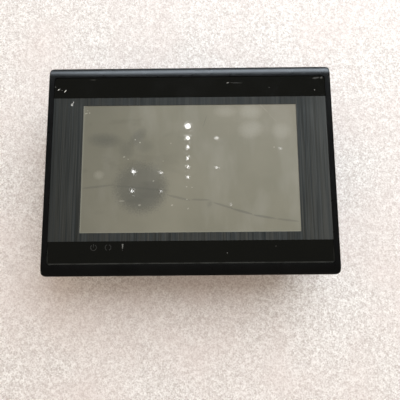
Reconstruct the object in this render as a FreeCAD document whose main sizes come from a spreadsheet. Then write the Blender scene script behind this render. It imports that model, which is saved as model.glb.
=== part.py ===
import FreeCAD, Part
import math
import os
import re
import Sketcher

# Operator touch panel, millimetres, +X right, +Z up, the screen faces -Y.
# The origin is the centre of the panel cut-out, on the rear face of the flange gasket (Y = 0).

SIZES = {
    # front flange and its bullnosed top and bottom edges
    "wide": 204, "tall": 150, "front": 8, "flange_back": 1, "corner": 3.5,
    "nose_drop": 2.9, "nose_reach": 6.8, "rim_round": 1.1,
    # printed film, its window and the touch glass behind it
    "film_wide": 195.6, "film_tall": 134, "film_corner": 2.3, "film_sunk": 0.5, "film_thick": 0.3,
    "film_gap": 0.1, "window_wide": 152.4, "window_tall": 91.44,
    "touch_wide": 165, "touch_tall": 104, "touch_thick": 1.6, "touch_gap": 0.3,
    "sight_wide": 157, "sight_tall": 96, "front_wall": 3, "seal_thick": 1, "seal_wide": 2.6,
    "seal_inset": 0.5,
    "tail_x": 46, "tail_wide": 12, "tail_thick": 0.2, "tail_set": 0.6, "tail_drop": 1.2, "tail_gap": 0.4,
    "ribbon_wide": 40, "ribbon_z": 45, "connector_tall": 3.8, "connector_deep": 5, "latch_end": 2.5,
    # screen module
    "lcd_wide": 164.9, "lcd_tall": 104, "lcd_thick": 5.7, "lcd_rim": 0.4, "lcd_glass": 1.4,
    "lcd_lap": 2, "lcd_side": 3.4, "lcd_play": 0.1,
    # wall that passes through the cut-out, gasket and screw bosses
    "skirt_wide": 191, "skirt_tall": 137, "skirt_corner": 3, "wall": 2.4, "seam_gap": 1.8,
    "gasket_inset": 1.7, "gasket_wide": 3.1, "gasket_thick": 2, "gasket_gap": 0.1,
    "boss_across": 7, "boss_x": 88, "boss_z": 61, "boss_mid": 30, "pilot_deep": 5.5,
    # chassis plate
    "chassis_gap": 0.5, "chassis_thick": 1.2, "chassis_wide": 184, "chassis_tall": 130,
    "hole_x": 44, "hole_z": 10, "hole_wide": 46, "hole_tall": 40,
    # fasteners, all M3
    "screw_across": 2.9, "pilot_gap": 0.1, "free_gap": 0.5, "head_across": 5.5, "head_tall": 2,
    "cross_wide": 0.8, "cross_long": 3, "cross_deep": 1.2,
    # indicators under the film
    "lamp_x": -56.2, "lamp_pitch": 9.9, "lamp_z": -55.6, "pipe_across": 4.8, "pipe_hole": 5.2,
    "lamp_board_wide": 32, "lamp_board_tall": 10, "lamp_board_z": -58,
    "lamp_board_thick": 1.6, "led_size": 3, "led_tall": 1.4,
    # main board
    "standoff_tall": 11.8, "standoff_flats": 5, "standoff_x": 80, "standoff_low": -28,
    "standoff_high": 50, "board_thick": 1.6, "board_wide": 170, "board_high": 56, "board_gap": 0.3,
    "board_screw": 5.4, "solder_gap": 0.1,
    # rear cover
    "parts_room": 20, "deep_wide": 186, "deep_high": 66, "step": 45, "deep_corner": 4,
    "cover_round": 1.6, "post_across": 8, "well_gap": 1.1, "well_floor": 7.8, "post_gap": 0.2,
    "clamp_x": 60, "clamp_wide": 14, "clamp_tall": 5, "clamp_edge": 2.3,
    "vent_long": 34, "vent_wide": 2.4, "vent_pitch": 5.4, "vent_count": 8, "vent_x": 58, "vent_z": 30,
    "top_vent_long": 13, "top_vent_count": 22, "label_wide": 66, "label_tall": 34, "label_deep": 0.4,
    "label_z": -12, "port_gap": 0.5, "port_proud": 1,
    # positions of the ports along the step
    "power_x": -74, "serial_a_x": -46, "serial_b_x": -13, "ethernet_x": 14, "host_x": 34,
    "device_x": 51.5, "dip_x": 67, "reset_x": 80,
    # power terminal block, three poles with rising cages
    "pole_pitch": 5.08, "socket_wide": 16.2, "socket_tall": 13, "socket_long": 12,
    "terminal_wide": 16.2, "terminal_low": 0.6, "terminal_high": 14.4, "terminal_long": 11,
    "cage_wide": 4.2, "cage_tall": 7, "cage_long": 5, "cage_gap": 0.1, "cage_travel": 1.5,
    "cage_floor": 1, "cage_open": 4, "cage_window": 3, "clamp_screw": 2.5, "clamp_head": 3.8,
    "clamp_head_tall": 1.6,
    # nine-way serial ports
    "flange_wide": 30.8, "flange_tall": 12.5, "flange_thick": 0.8, "serial_up": 6.3,
    "shell_wide": 16.6, "shell_tall": 8.1, "shell_lean": 1.4, "shell_long": 6, "shell_wall": 0.5,
    "contact_pitch": 2.77, "contact_row": 2.84, "contact_across": 1, "post_spread": 12.5,
    "post_flats": 4.75, "post_long": 5, "post_hole": 2.84, "post_hole_deep": 4,
    # other ports
    "jack_wide": 15.9, "jack_tall": 13.4, "jack_long": 21, "jack_open_wide": 11.9,
    "jack_open_tall": 6.8, "jack_open_up": 2.2, "latch_wide": 6.2, "latch_tall": 2.4,
    "contact_step": 1.02,
    "host_wide": 13.2, "host_tall": 5.8, "host_long": 14, "device_wide": 12, "device_tall": 10.9,
    "device_long": 16, "device_open_wide": 8.6, "device_open_tall": 7.9, "tongue_wide": 5.6,
    "tongue_tall": 3.2, "sheet_metal": 0.3,
    # setting switches and reset button
    "dip_wide": 11.7, "dip_tall": 7, "dip_long": 8, "dip_pitch": 2.54, "dip_slot": 3.8,
    "dip_travel": 2.1, "slider_wide": 1, "slider_tall": 1.4, "slider_proud": 0.6,
    "reset_size": 6, "button_across": 3.5, "button_gap": 0.2, "button_long": 5.4, "button_travel": 0.5,
}

# Planes across the depth of the panel, from the film to the rear face.
SHELF = "(film_sunk+film_thick-front)"
TOUCH_BACK = f"({SHELF}+touch_thick)"
WALL_BACK = f"({SHELF}+front_wall)"
SEAL_BACK = f"({WALL_BACK}+seal_thick)"
LCD_BACK = f"({SEAL_BACK}+lcd_thick)"
CHASSIS = f"({LCD_BACK}+chassis_gap)"
CHASSIS_BACK = f"({CHASSIS}+chassis_thick)"
SEAM = f"({CHASSIS_BACK}+seam_gap)"
BOARD = f"({CHASSIS_BACK}+standoff_tall)"
BOARD_BACK = f"({BOARD}+board_thick)"
REAR = f"({BOARD_BACK}+parts_room+wall)"
WELL = f"({CHASSIS_BACK}+well_floor)"
MOUTH = "(-step-port_proud)"
BOARD_LOW = "(wall+board_gap-step)"
PILOT = "(screw_across+pilot_gap)"
SCREW_FREE = "(screw_across+free_gap)"

WORDS = re.compile(r"\b(" + "|".join(sorted(SIZES, key=len, reverse=True)) + r")\b")
PLANES = {"X": ("YZ_Plane", 1), "Y": ("XZ_Plane", -1), "Z": ("XY_Plane", 1)}

doc = FreeCAD.newDocument("TouchPanel")
sheet = doc.addObject("Spreadsheet::Sheet", "Sizes")
for line, (word, number) in enumerate(SIZES.items(), 1):
    sheet.set(f"A{line}", word)
    sheet.set(f"B{line}", str(number))
    sheet.setAlias(f"B{line}", word)
doc.recompute()
pieces = []


def bound(text):
    """The expression that reads the named sizes from the sheet."""
    return WORDS.sub(lambda found: "Sizes." + found.group(0), text)


def value(text):
    return float(sheet.evalExpression(bound(text)))


# ---- outlines for sketches, every coordinate an expression ----

def corners(points):
    return "corners", points


def span(left, right, low, high):
    return "corners", [(left, low), (right, low), (right, high), (left, high)]


def block(u, v, wide, tall):
    return span(f"{u}-({wide})/2", f"{u}+({wide})/2", f"{v}-({tall})/2", f"{v}+({tall})/2")


def rounded(u, v, wide, tall, radius):
    return "rounded", (u, v, wide, tall, radius)


def plate(wide, tall):
    """A sharp-cornered rectangle round the panel's centre."""
    return block("0", "0", wide, tall)


def soft_plate(wide, tall, radius):
    """A rectangle with rounded corners round the panel's centre."""
    return rounded("0", "0", wide, tall, radius)


def disc(u, v, across):
    return "disc", (u, v, across)


def hexagon(u, v, flats):
    half = [(math.cos(math.radians(60 * k)), math.sin(math.radians(60 * k))) for k in range(6)]
    reach = f"({flats})/sqrt(3)"
    return corners([(f"{u}+{reach}*({a:.6f})", f"{v}+{reach}*({b:.6f})") for a, b in half])


class Ties:
    """The constraints of one outline, added together so that the sketch is solved once."""

    def __init__(self, sketch):
        self.sketch = sketch
        self.list = []
        self.texts = []

    def join(self, kind, curve, end, after, start):
        self.list.append(Sketcher.Constraint(kind, curve, end, after, start))
        self.texts.append(None)

    def size(self, kind, curve, text):
        self.list.append(Sketcher.Constraint(kind, curve, value(text)))
        self.texts.append(text)

    def pin(self, curve, point, u, v):
        for kind, text in (("DistanceX", u), ("DistanceY", v)):
            self.list.append(Sketcher.Constraint(kind, -1, 1, curve, point, value(text)))
            self.texts.append(text)

    def finish(self):
        places = self.sketch.addConstraint(self.list)
        for place, text in zip(places, self.texts):
            if text:
                self.sketch.setExpression(f"Constraints[{place}]", bound(text))


def circle_at(u, v, radius):
    return Part.Circle(FreeCAD.Vector(value(u), value(v), 0), FreeCAD.Vector(0, 0, 1), radius)


def draw_corners(sketch, ties, points):
    places = [FreeCAD.Vector(value(u), value(v), 0) for u, v in points]
    following = places[1:] + places[:1]
    lines = [sketch.addGeometry(Part.LineSegment(a, b), False) for a, b in zip(places, following)]
    for line, after in zip(lines, lines[1:] + lines[:1]):
        ties.join("Coincident", line, 2, after, 1)
    for line, (u, v) in zip(lines, points):
        ties.pin(line, 1, u, v)


def draw_rounded(sketch, ties, data):
    u, v, wide, tall, radius = data
    reach_u = f"(({wide})/2-({radius}))"
    reach_v = f"(({tall})/2-({radius}))"
    centres = [(f"{u}+{reach_u}", f"{v}-{reach_v}"), (f"{u}+{reach_u}", f"{v}+{reach_v}"),
               (f"{u}-{reach_u}", f"{v}+{reach_v}"), (f"{u}-{reach_u}", f"{v}-{reach_v}")]
    arcs = []
    for quarter, (a, b) in enumerate(centres):
        circle = circle_at(a, b, value(radius))
        start = math.radians(90 * quarter - 90)
        arcs.append(sketch.addGeometry(Part.ArcOfCircle(circle, start, start + math.pi / 2), False))
    for arc, after in zip(arcs, arcs[1:] + arcs[:1]):
        ends = sketch.Geometry[arc].EndPoint, sketch.Geometry[after].StartPoint
        line = sketch.addGeometry(Part.LineSegment(*ends), False)
        ties.join("Tangent", arc, 2, line, 1)
        ties.join("Tangent", line, 2, after, 1)
    for arc, (a, b) in zip(arcs, centres):
        ties.pin(arc, 3, a, b)
        ties.size("Radius", arc, radius)


def draw_disc(sketch, ties, data):
    u, v, across = data
    curve = sketch.addGeometry(circle_at(u, v, value(across) / 2), False)
    ties.pin(curve, 3, u, v)
    ties.size("Diameter", curve, across)


DRAW = {"corners": draw_corners, "rounded": draw_rounded, "disc": draw_disc}


# ---- bodies and features ----

def body(label):
    piece = doc.addObject("PartDesign::Body", label)
    piece.Label = label
    pieces.append(piece)
    return piece


def sketch_on(piece, axis, place, outlines):
    role, sign = PLANES[axis]
    plane = [part for part in piece.Origin.OriginFeatures if part.Role == role][0]
    sketch = piece.newObject("Sketcher::SketchObject", "Outline")
    sketch.AttachmentSupport = [(plane, "")]
    sketch.MapMode = "FlatFace"
    sketch.setExpression(".AttachmentOffset.Base.z", bound(f"{sign}*({place})"))
    ties = Ties(sketch)
    for kind, data in outlines:
        DRAW[kind](sketch, ties, data)
    ties.finish()
    return sketch


def add(piece, axis, start, stop, *outlines):
    """Material between the planes start and stop, which lie across the axis."""
    sketch = sketch_on(piece, axis, start, outlines)
    pad = piece.newObject("PartDesign::Pad", "Pad")
    pad.Profile = sketch
    pad.Reversed = PLANES[axis][1] < 0
    pad.setExpression("Length", bound(f"({stop})-({start})"))
    return pad


def cut(piece, axis, start, stop, *outlines):
    """A space between the planes start and stop, which lie across the axis."""
    sketch = sketch_on(piece, axis, start, outlines)
    pocket = piece.newObject("PartDesign::Pocket", "Pocket")
    pocket.Profile = sketch
    pocket.Reversed = PLANES[axis][1] > 0
    pocket.setExpression("Length", bound(f"({stop})-({start})"))
    return pocket


def repeat(piece, feature, role, count, pitch):
    """A row of copies of one feature along an axis of the body."""
    row = piece.newObject("PartDesign::LinearPattern", "Row")
    row.Originals = [feature]
    row.Direction = ([part for part in piece.Origin.OriginFeatures if part.Role == role][0], [""])
    row.Mode = "Spacing"
    row.setExpression("Occurrences", bound(count))
    row.setExpression("Offset", bound(pitch))
    piece.Tip = row


def soften(piece, radius, chosen):
    """Round the edges whose bounding box the test accepts."""
    doc.recompute()
    base = piece.Tip
    names = [f"Edge{k}" for k, edge in enumerate(piece.Shape.Edges, 1) if chosen(edge.BoundBox)]
    fillet = piece.newObject("PartDesign::Fillet", "Rounding")
    fillet.Base = (base, names)
    fillet.setExpression("Radius", bound(radius))


def near(low, high, place):
    return abs(low - place) < 0.01 and abs(high - place) < 0.01


def slab(label, left, right, near_y, far_y, low, high):
    """A plain rectangular piece as one box."""
    piece = doc.addObject("Part::Box", label)
    piece.Label = label
    for name, a, b in (("Length", left, right), ("Width", near_y, far_y), ("Height", low, high)):
        piece.setExpression(name, bound(f"({b})-({a})"))
    for name, text in (("x", left), ("y", near_y), ("z", low)):
        piece.setExpression(f".Placement.Base.{name}", bound(text))
    pieces.append(piece)
    return piece


# ---- front flange, film, touch glass and screen ----

BOSSES = [(f"{a}boss_x", f"{b}boss_z") for a in ("", "-") for b in ("", "-")]
CHASSIS_POINTS = [("boss_x", "0"), ("-boss_x", "0")]
CHASSIS_POINTS += [(f"{a}boss_mid", f"{b}boss_z") for a in ("", "-") for b in ("", "-")]
LAMPS = [(f"lamp_x+({k})*lamp_pitch", "lamp_z") for k in (-1, 0, 1)]


def flange_profile(piece):
    """Side view of the flange: flat front, top and bottom edges drawn back as one arc each."""
    role = [part for part in piece.Origin.OriginFeatures if part.Role == "YZ_Plane"][0]
    sketch = piece.newObject("Sketcher::SketchObject", "SideView")
    sketch.AttachmentSupport = [(role, "")]
    sketch.MapMode = "FlatFace"
    sketch.setExpression(".AttachmentOffset.Base.z", bound("-wide/2"))
    radius = "(nose_drop^2+nose_reach^2)/(2*nose_drop)"
    high = "tall/2"
    flat = "tall/2-nose_reach"
    spots = [("-flange_back", f"-({high})"), ("-flange_back", high), ("nose_drop-front", high),
             ("-front", flat), ("-front", f"-({flat})"), ("nose_drop-front", f"-({high})")]
    points = [FreeCAD.Vector(value(u), value(v), 0) for u, v in spots]
    order = [(0, 1), (1, 2), (2, 3), (3, 4), (4, 5), (5, 0)]
    curves = []
    for start, stop in order:
        if {start, stop} in ({2, 3}, {4, 5}):
            side = 1 if start == 2 else -1
            centre = FreeCAD.Vector(value(f"{radius}-front"), side * value(flat), 0)
            edge = FreeCAD.Vector(points[start] + points[stop]) / 2 - centre
            middle = centre + edge * (value(radius) / edge.Length)
            shape = Part.Arc(points[start], middle, points[stop])
        else:
            shape = Part.LineSegment(points[start], points[stop])
        curves.append(sketch.addGeometry(shape, False))
    ends = []
    for curve, (start, stop) in zip(curves, order):
        forward = (sketch.getPoint(curve, 1) - points[start]).Length < 0.001
        ends.append((1, 2) if forward else (2, 1))
    ties = Ties(sketch)
    for k, curve in enumerate(curves):
        after = (k + 1) % len(curves)
        ties.join("Coincident", curve, ends[k][1], curves[after], ends[after][0])
    for curve, end, (start, stop) in zip(curves, ends, order):
        ties.pin(curve, end[0], *spots[start])
    for curve in (curves[2], curves[4]):
        ties.size("Radius", curve, radius)
    ties.finish()
    return sketch


def gasket_ring(gap):
    """The ring outside the cut-out that the gasket fills, made smaller all round by a gap."""
    inner = f"2*gasket_inset+2*({gap})"
    outer = f"2*gasket_inset+2*gasket_wide-2*({gap})"
    return [soft_plate(f"skirt_wide+{outer}", f"skirt_tall+{outer}", f"4-({gap})"),
            soft_plate(f"skirt_wide+{inner}", f"skirt_tall+{inner}", f"2+({gap})")]


def tail_slot():
    """Outline of the passage for the touch tail, just below the touch glass."""
    low = "-touch_tall/2-tail_drop-tail_thick-tail_gap"
    return span("tail_x-tail_wide/2-tail_gap", "tail_x+tail_wide/2+tail_gap", low, "-touch_tall/2+0.1")


def make_front_bezel():
    piece = body("front_bezel")
    pad = piece.newObject("PartDesign::Pad", "Flange")
    pad.Profile = flange_profile(piece)
    pad.setExpression("Length", bound("wide"))
    half = value("wide/2")
    nose = value("nose_drop-front")

    def on_side_rim(edge):
        at_side = near(abs(edge.XMin), abs(edge.XMax), half) and edge.XLength < 0.01
        return at_side and edge.YMax < nose + 0.01

    soften(piece, "rim_round", on_side_rim)
    outside = plate("wide+20", "tall+20")
    cut(piece, "Y", "-front", "-flange_back", outside, soft_plate("wide", "tall", "corner"))
    add(piece, "Y", "-flange_back", SEAM, soft_plate("skirt_wide", "skirt_tall", "skirt_corner"))
    recess = ("film_wide+2*film_gap", "film_tall+2*film_gap", "film_corner+film_gap")
    cut(piece, "Y", "-front", SHELF, soft_plate(*recess))
    cut(piece, "Y", SHELF, TOUCH_BACK, plate("touch_wide+2*touch_gap", "touch_tall+2*touch_gap"))
    cut(piece, "Y", TOUCH_BACK, WALL_BACK, plate("sight_wide", "sight_tall"))
    cut(piece, "Y", f"({TOUCH_BACK}-tail_set-tail_gap)", WALL_BACK, tail_slot())
    cut(piece, "Y", WALL_BACK, SEAM, soft_plate("skirt_wide-2*wall", "skirt_tall-2*wall", "1"))
    cut(piece, "Y", "-gasket_thick", "-flange_back", *gasket_ring("0"))
    for u, v in BOSSES + CHASSIS_POINTS:
        add(piece, "Y", WALL_BACK, CHASSIS, disc(u, v, "boss_across"))
    for u, v in BOSSES + CHASSIS_POINTS:
        cut(piece, "Y", f"{CHASSIS}-pilot_deep", CHASSIS, disc(u, v, PILOT))
    cut(piece, "Y", SHELF, WALL_BACK, *[disc(u, v, "pipe_hole") for u, v in LAMPS])
    return piece


def make_film_and_glass():
    film = body("front_overlay")
    add(film, "Y", "film_sunk-front", SHELF, soft_plate("film_wide", "film_tall", "film_corner"),
        plate("window_wide", "window_tall"))
    slab("touch_panel", "-touch_wide/2", "touch_wide/2", SHELF, TOUCH_BACK,
         "-touch_tall/2", "touch_tall/2")
    seal = body("touch_seal")
    inner = ("sight_wide+2*seal_inset", "sight_tall+2*seal_inset")
    outer = ("sight_wide+2*seal_inset+2*seal_wide", "sight_tall+2*seal_inset+2*seal_wide")
    add(seal, "Y", WALL_BACK, SEAL_BACK, plate(*outer), plate(*inner))


def make_screen():
    """A framed screen module: back plate, side walls and a thin front rim that holds the glass."""
    frame = body("lcd_housing")
    wide, tall = "(lcd_wide-2*lcd_side)", "(lcd_tall-2*lcd_side)"
    outer = plate("lcd_wide", "lcd_tall")
    front_of_glass = f"({SEAL_BACK}+lcd_rim)"
    back_of_glass = f"({front_of_glass}+lcd_glass)"
    add(frame, "Y", back_of_glass, LCD_BACK, outer)
    add(frame, "Y", front_of_glass, back_of_glass, outer, plate(wide, tall))
    add(frame, "Y", SEAL_BACK, front_of_glass, outer, plate(f"{wide}-2*lcd_lap", f"{tall}-2*lcd_lap"))
    slab("lcd_panel", f"-{wide}/2+lcd_play", f"{wide}/2-lcd_play", front_of_glass, back_of_glass,
         f"-{tall}/2+lcd_play", f"{tall}/2-lcd_play")


def flat_cable(label, x, wide, start_y, start_z, turn_z):
    """A folded flat cable: along the screen, back past the chassis and up into its connector."""
    piece = body(label)
    back = f"({start_y}+tail_thick)"
    up = f"({CABLE_Y}+tail_thick)"
    floor = f"({turn_z}-tail_thick)"
    points = [(start_y, start_z), (back, start_z), (back, turn_z), (CABLE_Y, turn_z),
              (CABLE_Y, CONNECTOR_LOW), (up, CONNECTOR_LOW), (up, floor), (start_y, floor)]
    add(piece, "X", f"{x}-({wide})/2", f"{x}+({wide})/2", corners(points))
    reach = f"(({wide})/2+latch_end)"
    slab(f"{label.split('_')[0]}_connector", f"{x}-{reach}", f"{x}+{reach}", f"{BOARD}-connector_tall",
         BOARD, CONNECTOR_LOW, f"{CONNECTOR_LOW}+connector_deep")


CABLE_Y = f"({BOARD}-connector_tall+0.6)"
CONNECTOR_LOW = f"({BOARD_LOW}+0.4)"


def make_cables():
    flat_cable("lcd_ribbon", "0", "ribbon_wide", f"({LCD_BACK}+0.1)", "-34", "-ribbon_z")
    flat_cable("touch_tail", "tail_x", "tail_wide", f"({TOUCH_BACK}-tail_set)", "(-touch_tall/2)",
               "(-touch_tall/2-tail_drop)")


def make_chassis():
    sheet_metal = body("chassis_plate")
    add(sheet_metal, "Y", CHASSIS, CHASSIS_BACK, soft_plate("chassis_wide", "chassis_tall", "3"))
    for u, v in BOSSES + CHASSIS_POINTS:
        cut(sheet_metal, "Y", CHASSIS, CHASSIS_BACK, disc(u, v, SCREW_FREE))
    passages = [("0", "-ribbon_z", "ribbon_wide"), ("tail_x", "-touch_tall/2-tail_drop", "tail_wide")]
    for x, z, wide in passages:
        cut(sheet_metal, "Y", CHASSIS, CHASSIS_BACK, rounded(x, z, f"{wide}+4", "4", "1"))
    for x in ("-hole_x", "hole_x"):
        cut(sheet_metal, "Y", CHASSIS, CHASSIS_BACK, rounded(x, "hole_z", "hole_wide", "hole_tall", "4"))


def screw_row(label, places, seat, length):
    """Pan-head screws with a cross recess: heads behind the seat plane, shanks in front of it."""
    piece = body(label)
    back = f"({seat}+head_tall)"
    add(piece, "Y", seat, back, *[disc(u, v, "head_across") for u, v in places])
    rim = value(back)
    soften(piece, "head_tall/3", lambda edge: near(edge.YMin, edge.YMax, rim) and edge.XLength > 1)
    add(piece, "Y", f"{seat}-{length}", seat, *[disc(u, v, "screw_across") for u, v in places])
    for wide, tall in (("cross_wide", "cross_long"), ("cross_long", "cross_wide")):
        cut(piece, "Y", f"{back}-cross_deep", back, *[block(u, v, wide, tall) for u, v in places])


def make_indicators():
    pipes = body("indicator_light_pipes")
    board_front = f"({CHASSIS}-lamp_board_thick)"
    led_front = f"({board_front}-led_tall)"
    add(pipes, "Y", f"{SHELF}+0.1", f"{led_front}-0.2", *[disc(u, v, "pipe_across") for u, v in LAMPS])
    collars = [disc(u, v, "pipe_across+2") for u, v in LAMPS]
    add(pipes, "Y", f"{WALL_BACK}+0.05", f"{WALL_BACK}+0.9", *collars)
    left, right = "lamp_x-lamp_board_wide/2", "lamp_x+lamp_board_wide/2"
    slab("indicator_board", left, right, board_front, CHASSIS,
         "lamp_board_z-lamp_board_tall/2", "lamp_board_z+lamp_board_tall/2")
    lamps = body("indicator_leds")
    add(lamps, "Y", led_front, board_front, *[block(u, v, "led_size", "led_size") for u, v in LAMPS])


def make_gasket():
    gasket = body("flange_gasket")
    add(gasket, "Y", "-gasket_thick", "0", *gasket_ring("gasket_gap"))


# ---- main board and what is soldered to it ----

STANDOFF_ROWS = ("standoff_low", "standoff_high")
STANDOFFS = [(x, z) for x in ("standoff_x", "-standoff_x", "0") for z in STANDOFF_ROWS]


def make_main_board():
    posts = body("board_standoffs")
    add(posts, "Y", CHASSIS_BACK, BOARD, *[hexagon(u, v, "standoff_flats") for u, v in STANDOFFS])
    cut(posts, "Y", f"{BOARD}-board_screw-1", BOARD, *[disc(u, v, PILOT) for u, v in STANDOFFS])
    board = body("main_board")
    middle = f"(board_high+{BOARD_LOW})/2"
    add(board, "Y", BOARD, BOARD_BACK, rounded("0", middle, "board_wide", f"board_high-{BOARD_LOW}", "2"),
        *[disc(u, v, SCREW_FREE) for u, v in STANDOFFS])
    screw_row("board_screws", STANDOFFS, BOARD_BACK, "board_thick+board_screw")


def chip(label, places, wide, tall, thick):
    """Square-cornered packages lying on the rear side of the board."""
    piece = body(label)
    outlines = [block(u, v, wide, tall) for u, v in places]
    add(piece, "Y", f"{BOARD_BACK}+solder_gap", f"{BOARD_BACK}+{thick}", *outlines)
    return piece


def drum(label, places, across, thick):
    """Round parts standing on the board, with a rounded rim."""
    piece = body(label)
    outlines = [disc(u, v, across) for u, v in places]
    add(piece, "Y", f"{BOARD_BACK}+solder_gap", f"{BOARD_BACK}+{thick}", *outlines)
    top = value(f"{BOARD_BACK}+{thick}")
    soften(piece, "0.6", lambda edge: near(edge.YMin, edge.YMax, top))
    return piece


def small_row(z):
    return [(str(x), z) for x in range(-40, 41, 10)]


def make_components():
    chip("processor", [("6", "18")], "17", "17", "1.4")
    chip("memory_chips", [("-16", "25"), ("-16", "11")], "13.5", "8", "1.2")
    coil = chip("power_inductor", [("-66", "-12")], "12", "12", "7")
    soften(coil, "2", lambda edge: edge.YLength > 5)
    drum("electrolytic_capacitors", [("-75", "6"), ("-63", "6"), ("-51", "6")], "8", "12")
    holder = chip("coin_cell_holder", [("56", "24")], "24", "22", "4")
    cut(holder, "Y", f"{BOARD_BACK}+1", f"{BOARD_BACK}+4", disc("56", "24", "20.4"))
    cell = body("coin_cell")
    add(cell, "Y", f"{BOARD_BACK}+1.05", f"{BOARD_BACK}+4.2", disc("56", "24", "20"))
    beeper = drum("buzzer", [("58", "-6")], "12", "8")
    cut(beeper, "Y", f"{BOARD_BACK}+6", f"{BOARD_BACK}+8", disc("58", "-6", "2.5"))
    small = chip("small_components", small_row("-14"), "2", "1.25", "0.8")
    for z in ("-8", "0"):
        outlines = [block(u, v, "2", "1.25") for u, v in small_row(z)]
        add(small, "Y", f"{BOARD_BACK}+solder_gap", f"{BOARD_BACK}+0.8", *outlines)


# ---- power terminal ----

POLES = [f"(power_x+({k})*pole_pitch)" for k in (-1, 0, 1)]
TERMINAL_TOP = f"({MOUTH}-0.3)"
TERMINAL_FOOT = f"({TERMINAL_TOP}-terminal_long)"
CAGE_HIGH = f"({TERMINAL_FOOT}+cage_long+1.6)"
CAGE_Z = f"({CAGE_HIGH}-cage_long/2)"
CAGE_LOW_Y = f"({BOARD_BACK}+terminal_low+1.1)"
CAGE_TOP_Y = f"({CAGE_LOW_Y}+cage_tall)"
SHOULDER = f"({CAGE_TOP_Y}+cage_travel+cage_gap)"


def make_power_terminal():
    """Fixed terminal block: wires enter from below, screws face the rear, one rising cage per pole."""
    block_piece = body("power_terminal")
    low = f"({BOARD_BACK}+terminal_low)"
    high = f"({BOARD_BACK}+terminal_high)"
    left, right = "power_x-terminal_wide/2", "power_x+terminal_wide/2"
    add(block_piece, "Z", TERMINAL_FOOT, TERMINAL_TOP, span(left, right, low, high))
    soften(block_piece, "0.6", lambda edge: edge.ZLength > 5)
    add(block_piece, "Z", TERMINAL_TOP, f"{MOUTH}+socket_long",
        span("power_x-socket_wide/2", "power_x+socket_wide/2", BOARD_BACK, f"{BOARD_BACK}+socket_tall"))
    room = "(cage_wide/2+cage_gap)"
    for x in POLES:
        cut(block_piece, "Z", TERMINAL_FOOT, f"{CAGE_HIGH}+cage_gap",
            span(f"{x}-{room}", f"{x}+{room}", f"{CAGE_LOW_Y}-cage_gap", SHOULDER))
        cut(block_piece, "Y", SHOULDER, f"{SHOULDER}+1", disc(x, CAGE_Z, "clamp_screw+0.3"))
        cut(block_piece, "Y", f"{SHOULDER}+1", high, disc(x, CAGE_Z, "clamp_head+0.2"))


def make_clamps():
    seat = f"({SHOULDER}+1.05)"
    for number, x in enumerate(POLES, 1):
        cage = body(f"wire_clamp_{number}")
        add(cage, "Y", CAGE_LOW_Y, CAGE_TOP_Y, block(x, CAGE_Z, "cage_wide", "cage_long"))
        cut(cage, "Z", f"{CAGE_Z}-cage_long/2", f"{CAGE_Z}+cage_long/2",
            span(f"{x}-cage_window/2", f"{x}+cage_window/2", f"{CAGE_LOW_Y}+cage_floor",
                 f"{CAGE_LOW_Y}+cage_floor+cage_open"))
        thread = disc(x, CAGE_Z, "clamp_screw+0.1")
        cut(cage, "Y", f"{CAGE_LOW_Y}+cage_floor+cage_open", CAGE_TOP_Y, thread)
        screw = body(f"terminal_screw_{number}")
        add(screw, "Y", seat, f"{seat}+clamp_head_tall", disc(x, CAGE_Z, "clamp_head"))
        add(screw, "Y", f"{CAGE_LOW_Y}+cage_floor+cage_travel+0.8", seat, disc(x, CAGE_Z, "clamp_screw"))
        cut(screw, "Y", f"{seat}+clamp_head_tall-0.8", f"{seat}+clamp_head_tall",
            block(x, CAGE_Z, "clamp_head", "0.7"))


# ---- data ports ----

SERIAL_Y = f"({BOARD_BACK}+serial_up)"
FLANGE_Z = f"(-step+0.2)"


def d_outline(x, shrink):
    """The D of a serial port: a trapezium, wide side away from the board."""
    wide = f"(shell_wide/2-({shrink}))"
    narrow = f"(shell_wide/2-shell_lean-({shrink}))"
    tall = f"(shell_tall/2-({shrink}))"
    return corners([(f"{x}-{narrow}", f"{SERIAL_Y}-{tall}"), (f"{x}+{narrow}", f"{SERIAL_Y}-{tall}"),
                    (f"{x}+{wide}", f"{SERIAL_Y}+{tall}"), (f"{x}-{wide}", f"{SERIAL_Y}+{tall}")])


def contact_places(x):
    """Five contacts over four, staggered by half a pitch."""
    far = [(f"{x}+({k})*contact_pitch", f"{SERIAL_Y}+contact_row/2") for k in range(-2, 3)]
    close = [(f"{x}+({k}+0.5)*contact_pitch", f"{SERIAL_Y}-contact_row/2") for k in range(-2, 2)]
    return far + close


def make_serial_port(letter, x, pins):
    shell = body(f"serial_port_{letter}")
    back = f"({FLANGE_Z}+flange_thick)"
    tip = f"({FLANGE_Z}-shell_long)"
    add(shell, "Z", FLANGE_Z, back, block(x, SERIAL_Y, "flange_wide", "flange_tall"))
    add(shell, "Z", tip, FLANGE_Z, d_outline(x, "0"))
    soften(shell, "1.6", lambda edge: edge.ZLength > 5)
    cut(shell, "Z", tip, back, d_outline(x, "shell_wall"))
    insert = body(f"serial_port_{letter}_insert")
    foot = f"({back}+0.1)"
    add(insert, "Z", foot, f"{back}+10.5", block(x, f"({SERIAL_Y}-0.1)", "28", "12.3"))
    front = f"({FLANGE_Z}+0.2)" if pins else f"({tip}+0.4)"
    add(insert, "Z", front, foot, d_outline(x, "shell_wall+1"))
    places = contact_places(x)
    if pins:
        rods = body(f"serial_port_{letter}_pins")
        add(rods, "Z", f"{tip}+0.8", front, *[disc(u, v, "contact_across") for u, v in places])
    else:
        cut(insert, "Z", front, f"{front}+5", *[disc(u, v, "contact_across+0.3") for u, v in places])


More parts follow.
